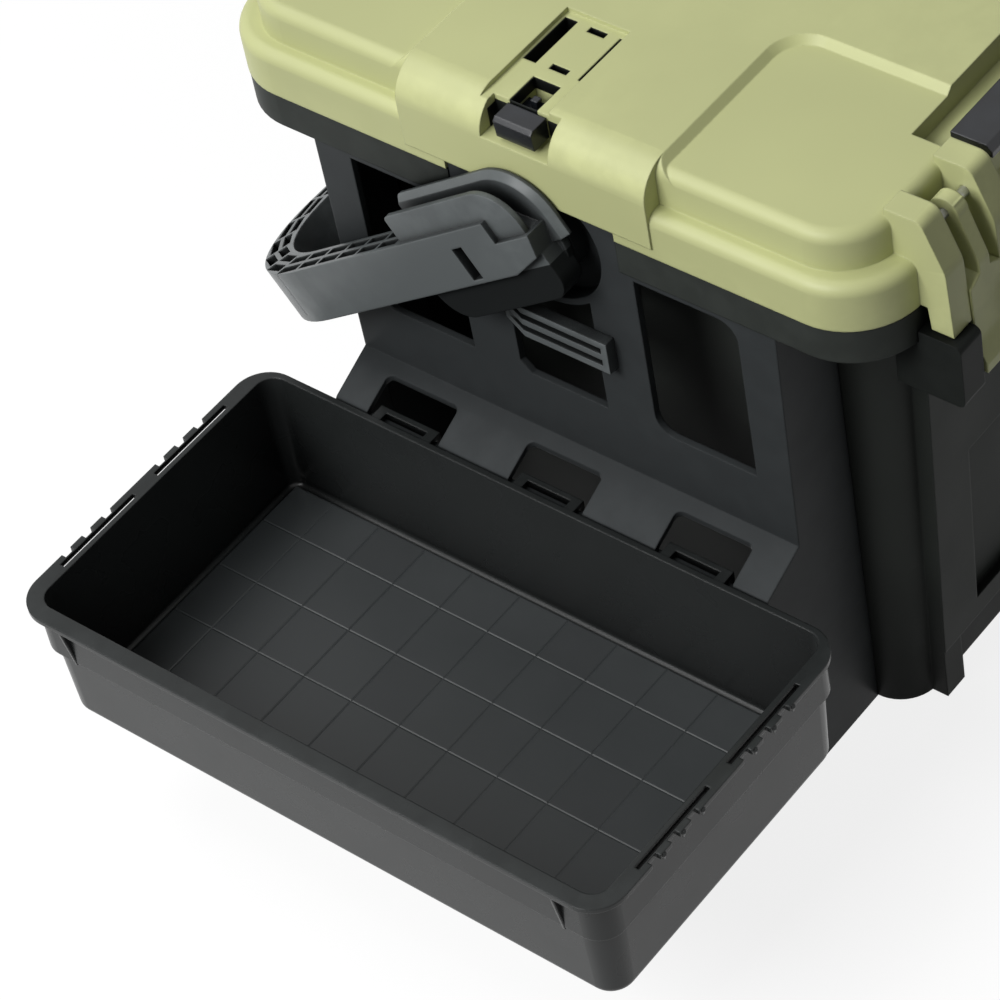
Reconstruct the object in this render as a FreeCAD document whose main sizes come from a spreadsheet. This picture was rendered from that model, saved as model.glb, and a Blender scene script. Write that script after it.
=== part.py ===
"""A fishing tackle cabinet: a moulded tub with a hinged lid, a carrying handle that
folds down behind it, two front latches and a tray that hangs on one end.

Millimetres. The origin is the middle of the tub's footprint on the ground, +X runs along
the length, -Y is the front with the latches, +Z is up. The tray hangs on the -X end.
"""
import FreeCAD, Part
import math
import os
import types

import Sketcher

Vector = FreeCAD.Vector
doc = FreeCAD.newDocument("tackle_cabinet")

# ---------------------------------------------------------------- driving sizes
SIZES = {
    # fits
    "body_gap": 0.3,            # between bodies that pass each other
    "running_gap": 0.05,        # radial, a shaft in its bearing
    "seat_gap": 0.02,           # radial, a pin in the hole that holds it
    # tub
    "foot_length": 373.0,
    "foot_depth": 245.0,
    "foot_corner": 17.5,
    "tub_draft": 1.4,           # degrees
    "tub_wall": 3.0,
    "tub_floor": 3.5,
    "rim_length": 451.0,
    "rim_depth": 308.0,
    "rim_corner": 30.0,
    "rim_top": 255.7,
    "rim_thickness": 4.0,
    "band_height": 15.8,
    "band_wall": 3.0,
    # front and rear aprons of the tub
    "apron_half_length": 172.6,
    "apron_out": 7.0,
    "apron_bottom": 27.0,
    "apron_leg": 12.0,
    "panel_half_length": 149.0,
    "panel_low": 38.0,
    "panel_high": 125.0,
    "panel_sink": 4.0,
    # end frames, the hollow pilasters with windows
    "frame_out": 225.0,
    "frame_half_top": 108.5,
    "frame_half_foot": 105.0,
    "frame_wall": 3.0,
    "fold_height": 127.8,
    "lip_out": 247.6,
    "lip_height": 117.0,
    "lip_round": 3.0,
    "window_inner": 44.5,
    "window_outer": 90.8,
    "window_low": 158.0,
    "window_high": 237.3,
    "window_round": 9.0,
    "centre_half": 21.0,
    "centre_chamfer": 5.0,
    "hook_slot_width": 36.6,
    "hook_slot_pitch": 72.0,
    "hook_slot_back": 231.0,
    "hook_slot_floor": 115.0,
    # handle bearing in each end frame
    "pivot_height": 240.0,
    "pivot_radius": 8.0,
    "well_radius": 30.0,
    "well_depth": 7.0,
    "well_wall": 3.0,
    "collar_radius": 19.0,
    "collar_height": 8.2,
    "washer_radius": 15.0,
    "washer_thickness": 0.8,
    "pivot_head_radius": 11.4,
    "pivot_head_thickness": 3.0,
    "tab_half": 39.0,
    "tab_height": 5.0,
    # ribbed rail across each centre window
    "rail_front": 30.0,
    "rail_rear": 24.0,
    "rail_taper": 13.0,
    "rail_low": 185.5,
    "rail_height": 15.5,
    "rail_out": 5.0,
    "rail_groove": 3.0,
    # lid
    "lid_bottom": 256.0,
    "lid_length": 452.0,
    "lid_depth": 308.0,
    "lid_corner": 30.0,
    "ledge_height": 21.0,
    "ledge_round": 5.0,
    "lid_height": 41.0,
    "top_length": 437.0,
    "top_depth": 289.2,
    "top_corner": 24.0,
    "top_round": 7.0,
    "spine_half": 57.5,
    "spine_length": 453.6,
    "spine_low": 5.0,
    "spine_round": 15.0,
    "lid_wall": 3.0,
    "rim_ring_width": 19.0,
    "rim_ring_height": 8.0,
    "pad_sink": 3.0,
    "pad_slope": 45.0,          # degrees from the vertical
    "pad_inner_end": 133.5,
    "pad_corner": 16.0,
    "pad_round": 5.0,
    "front_step_half": 159.0,
    "front_step_back": 127.0,
    "front_step_height": 30.0,
    "front_step_out": 152.0,
    # seal
    "seal_width": 5.0,
    "seal_height": 4.0,
    "seal_inset": 12.5,
    "seal_clearance": 0.1,
    # bare front plate
    "plate_half": 148.5,
    "plate_back": 136.0,
    "plate_front": 153.6,
    "plate_thickness": 5.0,
    # rear hinges
    "hinge_back": 162.0,
    "hinge_height": 257.0,
    "hinge_place": 112.0,
    "knuckle_radius": 6.0,
    "knuckle_length": 24.0,
    "knuckle_gap": 0.4,
    "hinge_pin_radius": 2.5,
    "hinge_head_radius": 4.0,
    "hinge_head_thickness": 1.5,
    # latches
    "latch_place": 177.0,
    "ear_gap": 20.0,
    "ear_width": 11.0,
    "ear_tip_low": 246.0,
    "ear_out": 12.0,
    "ear_tip_out": 13.5,
    "ear_tip_back": 4.0,
    "latch_side_gap": 0.6,
    "latch_pin_out": 154.0,
    "latch_pin_height": 286.0,
    "latch_pin_radius": 2.0,
    "latch_pin_seat": 8.0,
    "latch_knuckle": 6.3,
    "latch_low": 221.0,
    "latch_neck": 3.0,
    "latch_shoulder": 263.0,
    "latch_shoulder_drop": 6.5,
    "latch_thickness": 8.0,
    "latch_bulge": 13.5,
    "latch_bend": 18.0,
    "latch_bend_round": 10.0,
    "latch_tail": 13.0,
    "latch_lip": 5.0,
    "latch_lip_height": 4.0,
    "keeper_low": 215.0,
    "keeper_side": 13.0,
    "keeper_out": 172.0,
    "keeper_back": 143.0,
    "keeper_face": 160.9,
    "keeper_slot": 22.0,
    # socket in each end of the lid, with its sprung catch
    "socket_inner": 166.0,
    "socket_front": 8.0,
    "socket_rear": 21.0,
    "socket_sink": 2.0,
    "socket_floor": 282.7,
    "mouth_front": 14.0,
    "mouth_rear": 17.5,
    "socket_slot": 6.0,
    "socket_slit": 2.6,
    "throat_front": 2.5,
    "throat_rear": 10.3,
    "catch_front": 6.9,
    "catch_rear": 10.6,
    "catch_pin_radius": 1.0,
    "catch_pin_in": 207.0,
    "catch_pin_height": 287.0,
    "catch_pin_seat": 3.0,
    "catch_back": 6.0,
    "catch_mouth": 8.5,
    "catch_nose_back": 9.1,
    "catch_lever": 3.0,
    "socket_lip": 1.0,
    "socket_hole": 8.0,
    # handle
    "fold_angle": 35.5,         # degrees below level, folded
    "handle_out": 242.0,
    "arm_width": 14.0,
    "grip_reach": 197.0,
    "handle_corner": 63.0,
    "handle_below": 6.0,
    "handle_above": 18.0,
    "hub_radius": 20.0,
    "hub_inner": 227.3,
    "nose_front": 21.0,
    "nose_heel": 17.5,
    "nose_low": 1.0,
    "nose_high": 8.6,
    "rail_wall": 2.0,
    "rib_wall": 1.8,
    "arm_cells": 5,
    "grip_cells": 24,
    "corner_cells": 6,
    "cell_floor": 3.0,
    "pivot_cover": 5.5,
    "cover_reach": 58.0,
    "cover_front": 25.5,
    "cover_top": 33.0,
    "cover_round": 24.0,
    "cover_back": 4.0,
    "cover_bevel": 2.6,
    "cover_wall": 2.4,
    "brow_top": 29.7,
    "brow_round": 18.0,
    "lobe_below": 21.0,
    "lobe_reach": 60.0,
    "lobe_round": 9.0,
    "arm_slot_place": 24.0,
    "arm_slot_width": 6.4,
    "arm_slot_low": 4.0,
    "arm_slot_high": 10.7,
    "arm_slot_depth": 6.0,
    # tray
    "tray_length": 290.0,
    "tray_width": 152.2,
    "tray_shift": 1.25,         # of the box towards the rear of its hooks
    "tray_corner": 15.0,
    "tray_rim_height": 118.0,
    "tray_depth": 63.0,
    "tray_draft": 2.2,          # degrees
    "tray_wall": 2.2,
    "tray_rim_width": 5.0,
    "tray_rim_thickness": 2.4,
    "tray_gap": 0.6,
    "tray_slit_length": 43.5,
    "tray_slit_width": 2.2,
    "tray_slit_pitch": 56.4,
    "tray_tooth_pitch": 11.9,
    "tray_tooth_gap": 5.0,
    "tray_tooth_depth": 2.2,
    "tray_tooth_shift": 3.2,
    "tray_band_height": 24.0,
    "tray_band_out": 1.0,
    "tray_floor_round": 4.0,
    "hook_width": 30.0,
    "hook_leg": 4.5,
    "hook_bar": 2.6,
    "hook_drop": 9.0,
}

sheet = doc.addObject("Spreadsheet::Sheet", "Sizes")
for row, (word, number) in enumerate(SIZES.items(), start=1):
    sheet.set(f"A{row}", word)
    sheet.set(f"B{row}", str(number))
    sheet.setAlias(f"B{row}", word)
doc.recompute()


class Size:
    """A number together with the sheet formula that gives it."""

    def __init__(self, number, formula):
        self.number = number
        self.formula = formula

    def __float__(self):
        return float(self.number)

    def __add__(self, other):
        return combine(self, "+", other)

    def __radd__(self, other):
        return combine(other, "+", self)

    def __sub__(self, other):
        return combine(self, "-", other)

    def __rsub__(self, other):
        return combine(other, "-", self)

    def __mul__(self, other):
        return combine(self, "*", other)

    def __rmul__(self, other):
        return combine(other, "*", self)

    def __truediv__(self, other):
        return combine(self, "/", other)

    def __rtruediv__(self, other):
        return combine(other, "/", self)

    def __neg__(self):
        return 0 - self


def combine(first, sign, second):
    """Joins two sizes or plain numbers, in number and in formula."""
    a, b = float(first), float(second)
    number = {"+": a + b, "-": a - b, "*": a * b, "/": a / b if b else 0.0}[sign]
    words = [x.formula if isinstance(x, Size) else repr(float(x)) for x in (first, second)]
    return Size(number, f"({words[0]} {sign} {words[1]})")


def lean(angle):
    """The sideways run for each millimetre of height of a face that leans by an angle."""
    return Size(math.tan(math.radians(float(angle))), f"tan({angle.formula} * 1 deg)")


def bind(thing, path, size):
    """Sets a property from a size, so that it follows the sheet."""
    if isinstance(size, Size):
        thing.setExpression(path, size.formula)
    else:
        thing.setExpression(path, repr(float(size)))


s = types.SimpleNamespace(
    **{word: Size(float(number), f"Sizes.{word}") for word, number in SIZES.items()}
)


# ---------------------------------------------------------------- sketching
def rectangle(x0, x1, y0, y1, radius=None):
    """A rectangle's corners, all rounded where a radius is given."""
    corners = [(x0, y0), (x1, y0), (x1, y1), (x0, y1)]
    return [c + (radius,) for c in corners] if radius is not None else corners


def fix(sketch, geometry, point, x, y):
    """Holds a point at sizes measured from the sketch's origin."""
    for kind, size in (("DistanceX", x), ("DistanceY", y)):
        index = sketch.addConstraint(
            Sketcher.Constraint(kind, -1, 1, geometry, point, float(size))
        )
        if isinstance(size, Size):
            bind(sketch, f"Constraints[{index}]", size)


def add_circle(sketch, x, y, radius):
    """A circle given by the sizes of its centre and radius."""
    centre = Vector(float(x), float(y), 0)
    ring = sketch.addGeometry(Part.Circle(centre, Vector(0, 0, 1), float(radius)))
    index = sketch.addConstraint(Sketcher.Constraint("Radius", ring, float(radius)))
    bind(sketch, f"Constraints[{index}]", radius)
    fix(sketch, ring, 3, x, y)


def add_outline(sketch, corners):
    """A closed outline of straight sides. A corner is (x, y) or (x, y, radius)."""
    count = len(corners)
    spots = [Vector(float(c[0]), float(c[1]), 0) for c in corners]
    starts, ends, rounds = list(spots), list(spots), {}
    for i, corner in enumerate(corners):
        if len(corner) < 3:
            continue
        radius = float(corner[2])
        back = (spots[i - 1] - spots[i]).normalize()
        ahead = (spots[(i + 1) % count] - spots[i]).normalize()
        half = back.getAngle(ahead) / 2
        reach = radius / math.tan(half)
        ends[i] = spots[i] + back * reach
        starts[i] = spots[i] + ahead * reach
        centre = spots[i] + (back + ahead).normalize() * (radius / math.sin(half))
        left_turn = back.cross(ahead).z < 0
        first, last = (ends[i], starts[i]) if left_turn else (starts[i], ends[i])
        angles = [math.atan2((p - centre).y, (p - centre).x) for p in (first, last)]
        circle = Part.Circle(centre, Vector(0, 0, 1), radius)
        rounds[i] = (Part.ArcOfCircle(circle, *angles), left_turn)
    lines = [
        sketch.addGeometry(Part.LineSegment(starts[i], ends[(i + 1) % count]))
        for i in range(count)
    ]
    for i, corner in enumerate(corners):
        before, after = lines[i - 1], lines[i]
        if i not in rounds:
            sketch.addConstraint(Sketcher.Constraint("Coincident", before, 2, after, 1))
            fix(sketch, after, 1, corner[0], corner[1])
            continue
        arc_shape, left_turn = rounds[i]
        arc = sketch.addGeometry(arc_shape)
        come, leave = (1, 2) if left_turn else (2, 1)
        sketch.addConstraint(Sketcher.Constraint("Tangent", before, 2, arc, come))
        sketch.addConstraint(Sketcher.Constraint("Tangent", arc, leave, after, 1))
        index = sketch.addConstraint(Sketcher.Constraint("Radius", arc, float(corner[2])))
        bind(sketch, f"Constraints[{index}]", corner[2])
        spot = sketch.addGeometry(Part.Point(spots[i]), True)
        sketch.addConstraint(Sketcher.Constraint("PointOnObject", spot, 1, before))
        sketch.addConstraint(Sketcher.Constraint("PointOnObject", spot, 1, after))
        fix(sketch, spot, 1, corner[0], corner[1])


PLANES = {"top": ("XY_Plane", 1), "side": ("YZ_Plane", 1), "front": ("XZ_Plane", -1)}


class Piece:
    """One moulded or turned piece, as a body of sketches, pads and pockets.

    A view names the plane that an outline is drawn on: top takes (x, y), side takes
    (y, z) and front takes (x, z). Low and high bound the feature across that plane.
    """

    def __init__(self, name):
        self.name = name
        self.body = doc.addObject("PartDesign::Body", name)
        self.body.Label = name
        self.steps = 0

    def feature(self, kind, view, low, high, outlines, draft, origin):
        role, way = PLANES[view]
        self.steps += 1
        label = f"{self.name}_{self.steps}"
        plane = next(f for f in self.body.Origin.OriginFeatures if f.Role == role)
        sketch = self.body.newObject("Sketcher::SketchObject", f"{label}_outline")
        sketch.AttachmentSupport = (plane, [""])
        sketch.MapMode = "FlatFace"
        start_high = (kind == "Pad") == (way < 0)
        level = high if start_high else low
        bind(sketch, "AttachmentOffset.Base.x", origin[0])
        bind(sketch, "AttachmentOffset.Base.y", origin[1])
        bind(sketch, "AttachmentOffset.Base.z", level if way > 0 else 0 - level)
        for line in outlines:
            if isinstance(line, list):
                add_outline(sketch, line)
            else:
                add_circle(sketch, *line)
        step = self.body.newObject(f"PartDesign::{kind}", label)
        step.Profile = sketch
        bind(step, "Length", high - low)
        if draft is not None:
            bind(step, "TaperAngle", draft)
        doc.recompute()
        return step

    def solid(self, view, low, high, *outlines, draft=None, origin=(0, 0)):
        """Adds material between two levels."""
        before = self.volume()
        self.feature("Pad", view, low, high, outlines, draft, origin)
        self.changed(before, 1)

    def hollow(self, view, low, high, *outlines, draft=None, origin=(0, 0)):
        """Takes material away between two levels."""
        before = self.volume()
        self.feature("Pocket", view, low, high, outlines, draft, origin)
        self.changed(before, -1)

    def repeat(self, axis, count, extent, backwards=False):
        """Repeats the last cut: along its sketch's H or V axis, or about its N axis."""
        before = self.volume()
        cut = self.body.Tip
        self.steps += 1
        kind, way, reach = ("Polar", "Axis", "Angle") if axis == "N" else ("Linear", "Direction", "Length")
        step = self.body.newObject(f"PartDesign::{kind}Pattern", f"{self.name}_{self.steps}")
        step.Originals = [cut]
        setattr(step, way, (cut.Profile[0], [f"{axis}_Axis"]))
        step.Reversed = backwards
        bind(step, "Occurrences", count)
        bind(step, reach, extent)
        self.body.Tip = step
        doc.recompute()
        self.changed(before, -1)

    def volume(self):
        return self.body.Shape.Volume if self.steps else 0.0

    def changed(self, before, way):
        if (self.volume() - before) * way <= 0:
            raise ValueError(f"{self.name}: step {self.steps} changed nothing")

    def soften(self, radius, chosen, kind="Fillet"):
        """Rounds or bevels the edges that a test picks."""
        edges = [
            f"Edge{i}"
            for i, edge in enumerate(self.body.Shape.Edges, start=1)
            if chosen(edge)
        ]
        if not edges:
            raise ValueError(f"{self.name}: no edge to soften after step {self.steps}")
        self.steps += 1
        step = self.body.newObject(f"PartDesign::{kind}", f"{self.name}_{self.steps}")
        step.Base = (self.body.Group[-2], edges)
        bind(step, "Radius" if kind == "Fillet" else "Size", radius)
        doc.recompute()


# ---------------------------------------------------------------- levels that pieces share
band_low = s.rim_top - s.band_height
rim_x, rim_y = s.rim_length / 2, s.rim_depth / 2
foot_x, foot_y = s.foot_length / 2, s.foot_depth / 2
tub_lean = lean(s.tub_draft)
tab_top = s.rim_top + s.tab_height
frame_inside = s.frame_out - s.frame_wall
housing_back = s.frame_out - s.well_depth - s.well_wall
collar_end = s.frame_out - s.well_depth + s.collar_height
lid_top = s.lid_bottom + s.lid_height
lid_x, lid_y = s.lid_length / 2, s.lid_depth / 2
top_x, top_y = s.top_length / 2, s.top_depth / 2
front_step = s.lid_bottom + s.front_step_height
keeper_top = s.ear_tip_low - 2 * s.body_gap
SIDES = (-1, 1)


def flip(corners, way):
    """Mirrors an outline's first coordinate when way is -1."""
    return [(way * c[0],) + tuple(c[1:]) for c in corners]


def span(a, b):
    """Two levels, the lower one first."""
    return (a, b) if float(a) < float(b) else (b, a)


# ---------------------------------------------------------------- tub
def make_tub():
    """The tub: drafted walls, a floor, a wide rim with a band under it, two aprons."""
    tub = Piece("tub")
    outline = rectangle(-foot_x, foot_x, -foot_y, foot_y, s.foot_corner)
    tub.solid("top", 0, s.rim_top, outline, draft=s.tub_draft)
    rim_low = s.rim_top - s.rim_thickness
    outside = rectangle(-rim_x, rim_x, -rim_y, rim_y, s.rim_corner)
    inside = rectangle(
        s.band_wall - rim_x, rim_x - s.band_wall,
        s.band_wall - rim_y, rim_y - s.band_wall,
        s.rim_corner - s.band_wall,
    )
    tub.solid("top", rim_low, s.rim_top, outside)
    tub.solid("top", band_low, rim_low, outside, inside)
    root = foot_y - s.tub_wall / 2
    face = foot_y + s.apron_out
    sunk = face - s.panel_sink
    beyond = face + s.apron_out + s.apron_out
    leg_inner = s.apron_half_length - s.apron_leg
    for way in SIDES:
        apron = [
            (root, s.apron_bottom),
            (face + tub_lean * s.apron_bottom, s.apron_bottom),
            (face + tub_lean * band_low, band_low),
            (root, band_low),
        ]
        tub.solid("side", -s.apron_half_length, s.apron_half_length, flip(apron, way))
        panel = [
            (sunk + tub_lean * s.panel_low, s.panel_low),
            (beyond, s.panel_low),
            (beyond, s.panel_high),
            (sunk + tub_lean * s.panel_high, s.panel_high),
        ]
        tub.hollow("side", -s.panel_half_length, s.panel_half_length, flip(panel, way))
        y0, y1 = span(way * root, way * face)
        tub.solid(
            "top", 0, s.apron_bottom,
            rectangle(-s.apron_half_length, -leg_inner, y0, y1),
            rectangle(leg_inner, s.apron_half_length, y0, y1),
        )
        x0, x1 = span(way * housing_back, way * (rim_x + s.body_gap))
        seat = rectangle(x0, x1, -s.tab_half, s.tab_half)
        tub.hollow("top", band_low, s.rim_top, seat)
    mouth_x = foot_x + tub_lean * s.rim_top - s.tub_wall
    mouth_y = foot_y + tub_lean * s.rim_top - s.tub_wall
    mouth_corner = s.foot_corner + tub_lean * s.rim_top - s.tub_wall
    mouth = rectangle(-mouth_x, mouth_x, -mouth_y, mouth_y, mouth_corner)
    tub.hollow("top", s.tub_floor, s.rim_top, mouth, draft=0 - s.tub_draft)
    for way in SIDES:
        for side in SIDES:
            add_tub_knuckle(tub, way * s.hinge_place, side)
    return tub


def add_tub_knuckle(tub, place, side):
    """One of the two knuckles on the tub that hold a hinge pin."""
    reach = s.knuckle_length / 2 + s.knuckle_gap
    low, high = span(place + side * reach, place + side * (reach + s.knuckle_length / 2))
    web_low = s.hinge_height - 2 * s.knuckle_radius
    web = [
        (rim_y, web_low),
        (s.hinge_back + s.knuckle_radius / 2, s.hinge_height - s.knuckle_radius / 2),
        (s.hinge_back, s.rim_top),
        (rim_y, s.rim_top),
    ]
    tub.solid("side", low, high, web)
    tub.solid("side", low, high, (s.hinge_back, s.hinge_height, s.knuckle_radius))
    bore = s.hinge_pin_radius + s.seat_gap
    tub.hollow("side", low, high, (s.hinge_back, s.hinge_height, bore))


# ---------------------------------------------------------------- end frames
def make_end_frame():
    """The left end frame: a hollow pilaster with windows, a sloped shoulder with three
    hook slots, and the housing of the handle's bearing."""
    frame = Piece("end_frame_left")
    block = [
        (-s.frame_half_foot, 0),
        (s.frame_half_foot, 0),
        (s.frame_half_top, band_low),
        (-s.frame_half_top, band_low),
    ]
    frame.solid("side", -s.lip_out, 0 - foot_x + s.tub_wall, block)
    clear = s.frame_wall
    outside = [
        (-s.lip_out - clear, band_low + clear),
        (-s.lip_out - clear, s.lip_height),
        (-s.lip_out, s.lip_height),
        (-s.frame_out, s.fold_height),
        (-s.frame_out, band_low + clear),
    ]
    half = s.frame_half_top + clear
    frame.hollow("front", -half, half, outside)
    frame.soften(s.lip_round, lambda e: is_lengthwise(e, -s.lip_out, s.lip_height))
    upper = [
        (s.frame_wall - s.frame_half_foot + tub_lean * clear, -clear),
        (s.frame_half_foot - s.frame_wall - tub_lean * clear, -clear),
        (s.frame_half_top - s.frame_wall, band_low + clear),
        (s.frame_wall - s.frame_half_top, band_low + clear),
    ]
    frame.hollow("side", -frame_inside, -foot_x + 2 * s.tub_wall, upper)
    lip_inside = s.lip_out - s.frame_wall
    lower = [
        (-lip_inside, -clear),
        (-lip_inside, s.lip_height - s.frame_wall / 2),
        (-frame_inside, s.fold_height - s.frame_wall / 2),
        (-frame_inside, -clear),
    ]
    half = s.frame_half_foot - s.frame_wall
    frame.hollow("front", -half, half, lower)
    tub_face = [
        (-foot_x + tub_lean * clear, -clear),
        (-foot_x - tub_lean * (band_low + clear), band_low + clear),
        (-foot_x + 2 * s.tub_wall, band_low + clear),
        (-foot_x + 2 * s.tub_wall, -clear),
    ]
    half = s.frame_half_top + clear
    frame.hollow("front", -half, half, tub_face)
    cut_windows(frame)
    for place in (-s.hook_slot_pitch, 0, s.hook_slot_pitch):
        half = s.hook_slot_width / 2
        slot = [
            (-s.lip_out - clear, place - half),
            (-s.hook_slot_back, place - half, s.lip_round),
            (-s.hook_slot_back, place + half, s.lip_round),
            (-s.lip_out - clear, place + half),
        ]
        frame.hollow("top", s.hook_slot_floor, s.fold_height, slot)
    add_bearing(frame)
    return frame


def is_lengthwise(edge, x, height):
    """Tells whether an edge runs along Y at a given place in the end view."""
    box = edge.BoundBox
    level = abs(box.XMin - float(x)) + abs(box.XMax - float(x))
    level += abs(box.ZMin - float(height)) + abs(box.ZMax - float(height))
    return level < 1e-3 and box.YLength > 1


def cut_windows(frame):
    """Two tall windows with two rounded corners each, and the centre one."""
    low, high = s.window_low, s.window_high
    first, last = s.window_inner, s.window_outer
    front = [
        (-last, low),
        (-first, low, s.window_round),
        (-first, high),
        (-last, high, s.window_round),
    ]
    rear = [
        (first, low),
        (last, low, s.window_round),
        (last, high),
        (first, high, s.window_round),
    ]
    centre = [
        (-s.centre_half, low),
        (s.centre_half - s.centre_chamfer, low),
        (s.centre_half, low + s.centre_chamfer),
        (s.centre_half, s.pivot_height - s.collar_radius),
        (-s.centre_half, s.pivot_height - s.collar_radius),
    ]
    outer = -s.frame_out - s.frame_wall
    inner = -frame_inside + s.frame_wall
    frame.hollow("side", outer, inner, front, rear, centre)


def add_bearing(frame):
    """The round well, its housing, the collar and the bore that hold the pivot."""
    front = -s.frame_out
    bed = front + s.well_depth
    axis = (0, s.pivot_height)
    housing = s.well_radius + s.well_wall
    frame.solid("side", front, -housing_back, (*axis, housing))
    seat = rectangle(-s.tab_half, s.tab_half, band_low, s.rim_top)
    frame.solid("side", front, -housing_back, seat)
    tab = rectangle(-s.tab_half, s.tab_half, s.rim_top, tab_top)
    frame.solid("side", front, -frame_inside, tab)
    over = s.pivot_height + housing + s.well_wall
    above = rectangle(-s.tab_half, s.tab_half, tab_top, over)
    frame.hollow("side", front, -housing_back, above)
    behind = rectangle(-s.tab_half, s.tab_half, s.rim_top, over)
    frame.hollow("side", -frame_inside, -housing_back, behind)
    frame.hollow("side", front, bed, (*axis, s.well_radius))
    frame.solid("side", -collar_end, bed, (*axis, s.collar_radius))
    bore = s.pivot_radius + s.seat_gap
    frame.hollow("side", -collar_end, -housing_back, (*axis, bore))


def make_pivot():
    """The shaft that the handle turns on, with its head inside the frame."""
    pivot = Piece("handle_pivot_left")
    axis = (0, s.pivot_height)
    tip = s.handle_out - s.pivot_cover - s.body_gap
    pivot.solid("side", -tip, -housing_back, (*axis, s.pivot_radius))
    inner = -housing_back + s.pivot_head_thickness
    pivot.solid("side", -housing_back, inner, (*axis, s.pivot_head_radius))
    return pivot


def make_washer():
    """The thin washer between the bearing's collar and the handle's hub."""
    washer = Piece("pivot_washer_left")
    axis = (0, s.pivot_height)
    bore = s.pivot_radius + s.running_gap
    ring = [(*axis, s.washer_radius), (*axis, bore)]
    washer.solid("side", -collar_end - s.washer_thickness, -collar_end, *ring)
    return washer


def make_rail():
    """The ribbed rail across the centre window: a cap in front, a taper at the rear."""
    rail = Piece("hanger_rail_left")
    outer = -s.frame_out - s.rail_out
    plan = [
        (-s.frame_out, -s.rail_front),
        (outer, -s.rail_front),
        (outer, s.rail_rear - s.rail_taper),
        (-s.frame_out, s.rail_rear),
    ]
    rail.solid("top", s.rail_low, s.rail_low + s.rail_height, plan)
    fin = (s.rail_height - 2 * s.rail_groove) / 3
    first = s.rail_low + fin
    second = first + s.rail_groove + fin
    cap = -s.rail_front + s.rail_groove
    grooves = [
        rectangle(cap, s.rail_rear + s.rail_groove, low, low + s.rail_groove)
        for low in (first, second)
    ]
    rail.hollow("side", outer, -s.frame_out - s.rail_out / 4, *grooves)
    return rail


# ---------------------------------------------------------------- lid
def make_lid():
    """The lid: a skirt, a raised top with four pads, a spine along the middle."""
    lid = Piece("lid")
    ledge = s.lid_bottom + s.ledge_height
    skirt = rectangle(-lid_x, lid_x, -lid_y, lid_y, s.lid_corner)
    lid.solid("top", s.lid_bottom, ledge, skirt)
    lid.soften(s.ledge_round, lambda e: lies_at(e, ledge))
    top = rectangle(-top_x, top_x, -top_y, top_y, s.top_corner)
    lid.solid("top", ledge - s.ledge_round, lid_top, top)
    step = s.front_step_half
    lid.hollow(
        "top", front_step, lid_top,
        rectangle(-step, step, -top_y - s.lid_wall, -s.front_step_back),
    )
    sink_pads(lid)
    lid.soften(s.top_round, lambda e: lies_at(e, lid_top) and is_outer(e))
    lid.solid(
        "top", ledge - s.ledge_round, front_step,
        rectangle(-step, step, -s.front_step_out, -s.front_step_back),
    )
    add_spine(lid)
    for way in SIDES:
        add_ears(lid, way * s.latch_place)
    hollow_lid(lid)
    cut_sockets(lid)
    for way in SIDES:
        add_lid_knuckle(lid, way * s.hinge_place)
    return lid


def lies_at(edge, height):
    """Tells whether an edge lies at one height."""
    box = edge.BoundBox
    return abs(box.ZMin - float(height)) < 1e-4 and abs(box.ZMax - float(height)) < 1e-4


def add_spine(lid):
    """The band along the middle, which ends in a large round over each end."""
    half = s.spine_length / 2
    low = s.lid_bottom + s.spine_low
    section = [
        (-half, low),
        (half, low),
        (half, lid_top, s.spine_round),
        (-half, lid_top, s.spine_round),
    ]
    lid.solid("front", -s.spine_half, s.spine_half, section)


def sink_pads(lid):
    """The four pads at the corners of the top, sunk a little below it behind a slope."""
    low = lid_top - s.pad_sink
    beyond_x, beyond_y = top_x + s.pad_corner, top_y + s.pad_corner
    pads = []
    for end in SIDES:
        for way in SIDES:
            pads.append([
                (end * s.pad_inner_end, way * s.spine_half, s.pad_corner),
                (end * beyond_x, way * s.spine_half),
                (end * beyond_x, way * beyond_y),
                (end * s.pad_inner_end, way * beyond_y),
            ])
    lid.hollow("top", low, lid_top, *pads, draft=0 - s.pad_slope)
    lid.soften(s.pad_round, lambda e: lies_at(e, low) and is_outer(e))


def is_outer(edge):
    """Tells whether an edge runs along the outside of the lid's raised top."""
    box = edge.BoundBox
    at_end = min(abs(box.XMin), abs(box.XMax)) > float(top_x) - 1e-3
    at_side = min(abs(box.YMin), abs(box.YMax)) > float(top_y) - 1e-3
    centre = box.Center
    radius = float(s.top_corner)
    at_corner = abs(centre.x) > float(top_x) - radius and abs(centre.y) > float(top_y) - radius
    return at_end or at_side or at_corner


def add_ears(lid, place):
    """The two ears that guard a latch and carry its pin."""
    root = top_y - s.lid_wall
    tip = s.ear_tip_low
    ear = [
        (-root, s.lid_bottom + s.ledge_height),
        (-root, lid_top),
        (-lid_y - s.lid_wall, lid_top, s.ledge_round),
        (-lid_y - s.ear_out, lid_top - s.ledge_height, s.ear_width),
        (-lid_y - s.ear_tip_out, tip),
        (-lid_y - s.ear_tip_back, tip),
        (-lid_y - s.lid_wall, s.lid_bottom + s.body_gap),
        (-lid_y, s.lid_bottom + s.body_gap),
    ]
    inner = s.ear_gap / 2
    outer = inner + s.ear_width
    pin = (-s.latch_pin_out, s.latch_pin_height, s.latch_pin_radius + s.seat_gap)
    lid.solid("side", place - outer, place - inner, ear)
    lid.solid("side", place + inner, place + outer, ear)
    seat = inner + s.latch_pin_seat
    lid.hollow("side", place - seat, place + seat, pin)


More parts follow.
